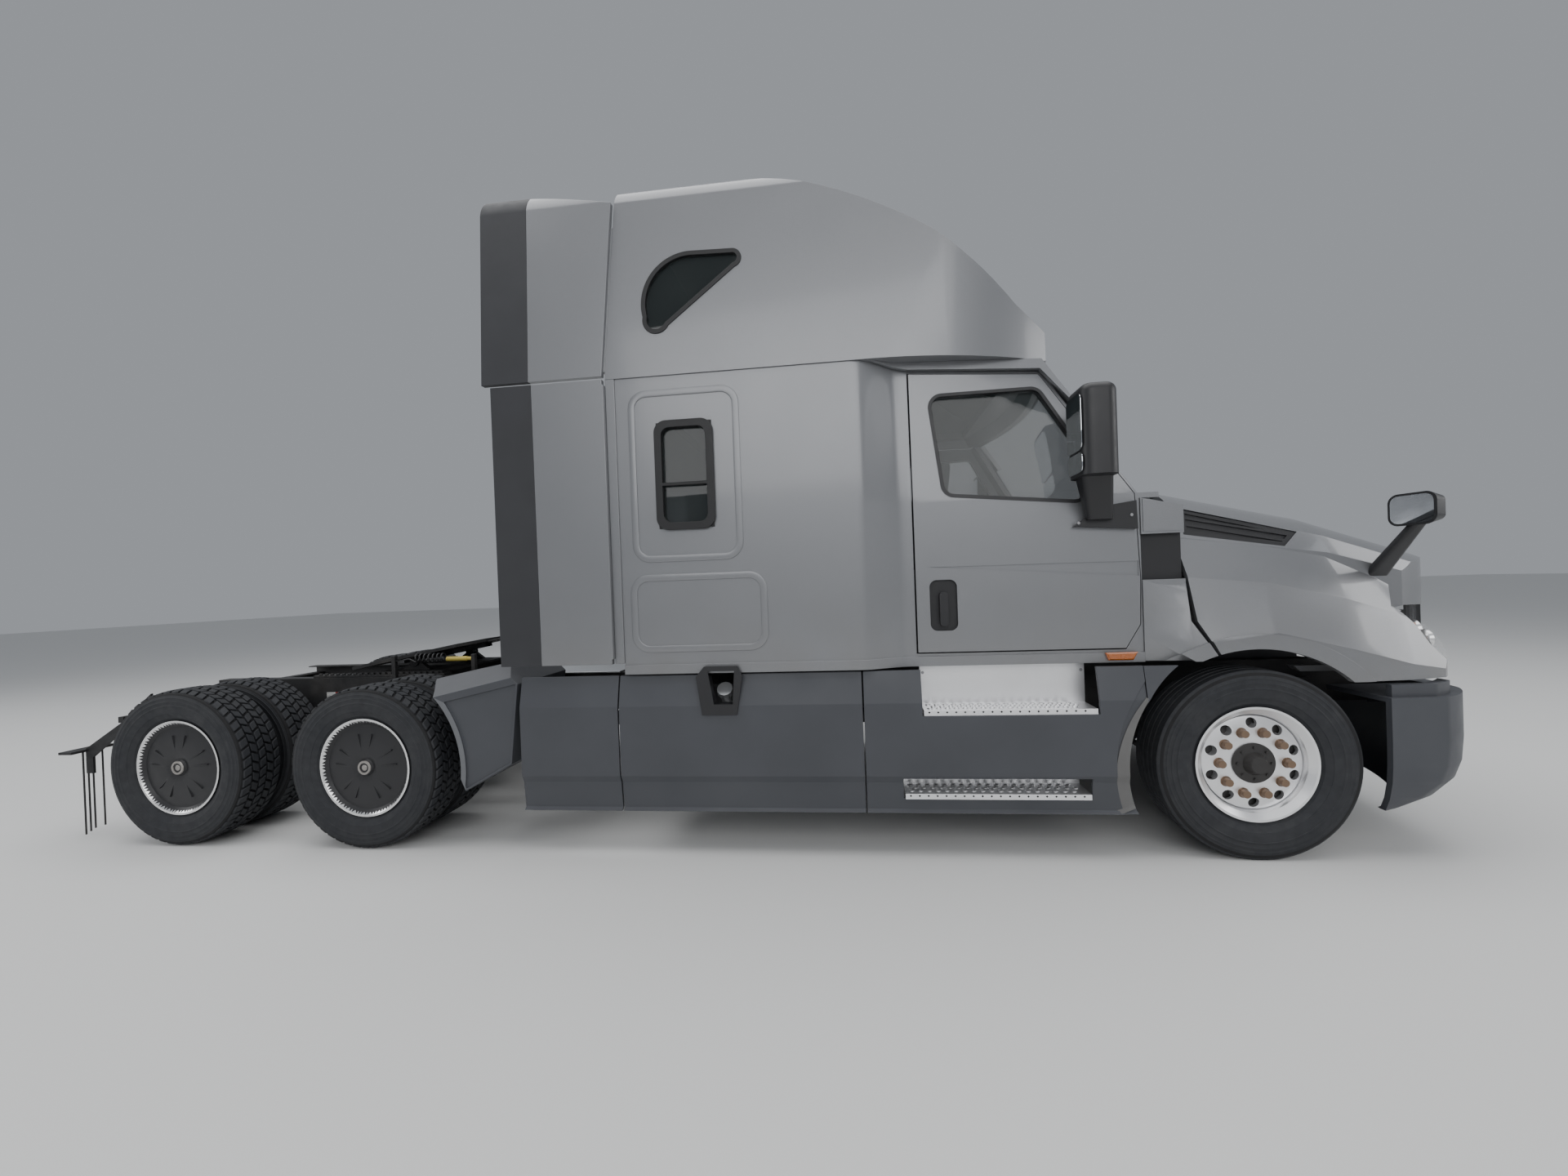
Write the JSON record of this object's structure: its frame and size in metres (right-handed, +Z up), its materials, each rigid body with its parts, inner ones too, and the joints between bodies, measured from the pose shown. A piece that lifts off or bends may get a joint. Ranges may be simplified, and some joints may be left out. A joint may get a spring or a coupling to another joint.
{
  "type": "semi truck tractor unit",
  "caption": "Conventional tractor unit with raised-roof sleeper, steering axle, tandem drive axles with twin wheels, opening doors, tilting hood and sliding, tilting coupling plate.",
  "frame": {"origin": "on the ground under the middle of the overall length, on the centreline", "axes": "+X forward, +Y to the driver's left, +Z up"},
  "size_m": [8.5998, 2.83, 3.9349],
  "materials": {
    "body_paint": "metallic silver-grey under clear coat",
    "slate_plastic": "matte slate grey, lightly scuffed",
    "black_plastic": "grained black",
    "chassis_black": "dusty chassis black",
    "engine_grey": "painted casting",
    "bright_aluminium": "polished",
    "tank_aluminium": "mill finish",
    "rubber": "matte",
    "tyre": "road-worn",
    "tinted_glass": "tinted",
    "lamp_lens": "clear with amber corner",
    "red_lens": "moulded lens",
    "amber_lens": "moulded lens",
    "coupling_iron": "greased casting",
    "seat_fabric": "woven",
    "cable_black": "satin sheath",
    "grip_yellow": "faded yellow",
    "wheel_cover": "matte black cover in a bright rim"
  },
  "bodies": {
    "chassis": {"brackets": "chassis_black", "bumper": "slate_plastic", "cab_back": "body_paint", "cab_floor": "black_plastic", "cab_front": "body_paint", "cab_glass": "tinted_glass", "cab_sides": "body_paint", "cable_coil": "cable_black", "cable_grip": "grip_yellow", "cable_tail": "cable_black", "cowl_sides": "body_paint", "crossmembers": "chassis_black", "dashboard": "black_plastic", "deck_plate": "tank_aluminium", "driveline": "engine_grey", "engine": "engine_grey", "extenders": "body_paint", "fifth_wheel_rails": "chassis_black", "frame_rails": "chassis_black", "front_axle": "chassis_black", "fuel_tanks": "tank_aluminium", "marker_lamps": "amber_lens", "mudflap_hangers": "chassis_black", "quarter_fenders": "slate_plastic", "rear_axles": "chassis_black", "roof_cap": "body_paint", "rubber_trim": "rubber", "seats_and_bunk": "seat_fabric", "side_inserts": "black_plastic", "skirts": "slate_plastic", "steps": "bright_aluminium", "suspension": "chassis_black", "tail_lamps": "red_lens"},
    "knuckle_left": {"knuckle_left": "chassis_black"},
    "front_wheel_left": {"tyre_front_left": "tyre", "wheel_front_left": "bright_aluminium"},
    "door_left": {"door_left": "body_paint", "door_glass_left": "tinted_glass", "door_fittings_left": "black_plastic"},
    "drive_wheels_left": {"tyres_drive_left": "tyre", "wheels_drive_left": "wheel_cover"},
    "tail_wheels_left": {"tyres_tail_left": "tyre", "wheels_tail_left": "wheel_cover"},
    "knuckle_right": {"knuckle_right": "chassis_black"},
    "front_wheel_right": {"tyre_front_right": "tyre", "wheel_front_right": "bright_aluminium"},
    "door_right": {"door_right": "body_paint", "door_glass_right": "tinted_glass", "door_fittings_right": "black_plastic"},
    "drive_wheels_right": {"tyres_drive_right": "tyre", "wheels_drive_right": "wheel_cover"},
    "tail_wheels_right": {"tyres_tail_right": "tyre", "wheels_tail_right": "wheel_cover"},
    "tie_rod": {"tie_rod": "chassis_black"},
    "hood": {"hood": "body_paint", "headlamps": "lamp_lens", "hood_fittings": "black_plastic", "grille": "black_plastic"},
    "slider": {"slider": "chassis_black"},
    "fifth_wheel": {"fifth_wheel": "coupling_iron"}
  },
  "joints": [
    {"name": "steer_left", "type": "hinge", "parent": "chassis", "child": "knuckle_left", "pos_m": [3.03, 0.87, 0.5], "axis": [0, 0, 1], "range_deg": [-38, 38]},
    {"name": "steer_right", "type": "hinge", "parent": "chassis", "child": "knuckle_right", "pos_m": [3.03, -0.87, 0.5], "axis": [0, 0, 1], "range_deg": [-38, 38]},
    {"name": "tie_rod_end", "type": "hinge", "parent": "knuckle_left", "child": "tie_rod", "pos_m": [2.82, 0.87, 0.411], "axis": [0, 0, 1], "range_deg": [-38, 38]},
    {"name": "spin_front_left", "type": "hinge", "parent": "knuckle_left", "child": "front_wheel_left", "pos_m": [3.03, 1.04, 0.5], "axis": [0, 1, 0], "continuous": true},
    {"name": "spin_drive_left", "type": "hinge", "parent": "chassis", "child": "drive_wheels_left", "pos_m": [-2.07, 0.913, 0.5], "axis": [0, 1, 0], "continuous": true},
    {"name": "spin_tail_left", "type": "hinge", "parent": "chassis", "child": "tail_wheels_left", "pos_m": [-3.39, 0.913, 0.5], "axis": [0, 1, 0], "continuous": true},
    {"name": "door_left", "type": "hinge", "parent": "chassis", "child": "door_left", "pos_m": [2.503, 1.12, 1.8], "axis": [0, 0, -1], "range_deg": [0, 65]},
    {"name": "spin_front_right", "type": "hinge", "parent": "knuckle_right", "child": "front_wheel_right", "pos_m": [3.03, -1.04, 0.5], "axis": [0, 1, 0], "continuous": true},
    {"name": "spin_drive_right", "type": "hinge", "parent": "chassis", "child": "drive_wheels_right", "pos_m": [-2.07, -0.913, 0.5], "axis": [0, 1, 0], "continuous": true},
    {"name": "spin_tail_right", "type": "hinge", "parent": "chassis", "child": "tail_wheels_right", "pos_m": [-3.39, -0.913, 0.5], "axis": [0, 1, 0], "continuous": true},
    {"name": "door_right", "type": "hinge", "parent": "chassis", "child": "door_right", "pos_m": [2.503, -1.12, 1.8], "axis": [0, 0, 1], "range_deg": [0, 65]},
    {"name": "hood_tilt", "type": "hinge", "parent": "chassis", "child": "hood", "pos_m": [4.18, 0, 0.912], "axis": [0, 1, 0], "range_deg": [0, 70]},
    {"name": "fifth_wheel_slide", "type": "slide", "parent": "chassis", "child": "slider", "axis": [1, 0, 0], "range_m": [-0.5, 0]},
    {"name": "fifth_wheel_tilt", "type": "hinge", "parent": "slider", "child": "fifth_wheel", "pos_m": [-2.37, 0, 1.05], "axis": [0, 1, 0], "range_deg": [0, 18]}
  ],
  "couplings": [
    {"joint": "steer_right", "follows": "steer_left", "ratio": 1},
    {"joint": "tie_rod_end", "follows": "steer_left", "ratio": -1}
  ]
}
